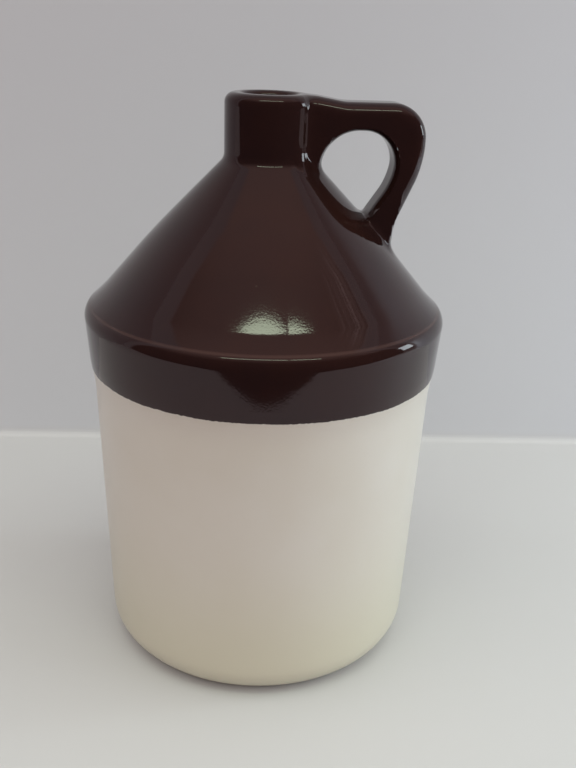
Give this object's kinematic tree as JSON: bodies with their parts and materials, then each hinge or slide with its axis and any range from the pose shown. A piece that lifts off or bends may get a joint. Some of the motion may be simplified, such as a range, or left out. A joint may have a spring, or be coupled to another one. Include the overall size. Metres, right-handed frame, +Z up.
{
  "type": "stoneware shoulder jug",
  "caption": "Stoneware shoulder jug with a narrow neck, open mouth and one ear handle, brown glaze above and cream glaze below",
  "frame": {"origin": "centre of the flat underside, on the surface that the jug stands on", "axes": "+Z up through the mouth, +X towards the handle, +Y completes the right-handed frame"},
  "size_m": [0.18, 0.18, 0.286],
  "materials": {
    "glaze": "dark brown gloss glaze above, cream gloss glaze below"
  },
  "bodies": {
    "root": {"jug": "glaze"}
  },
  "joints": []
}
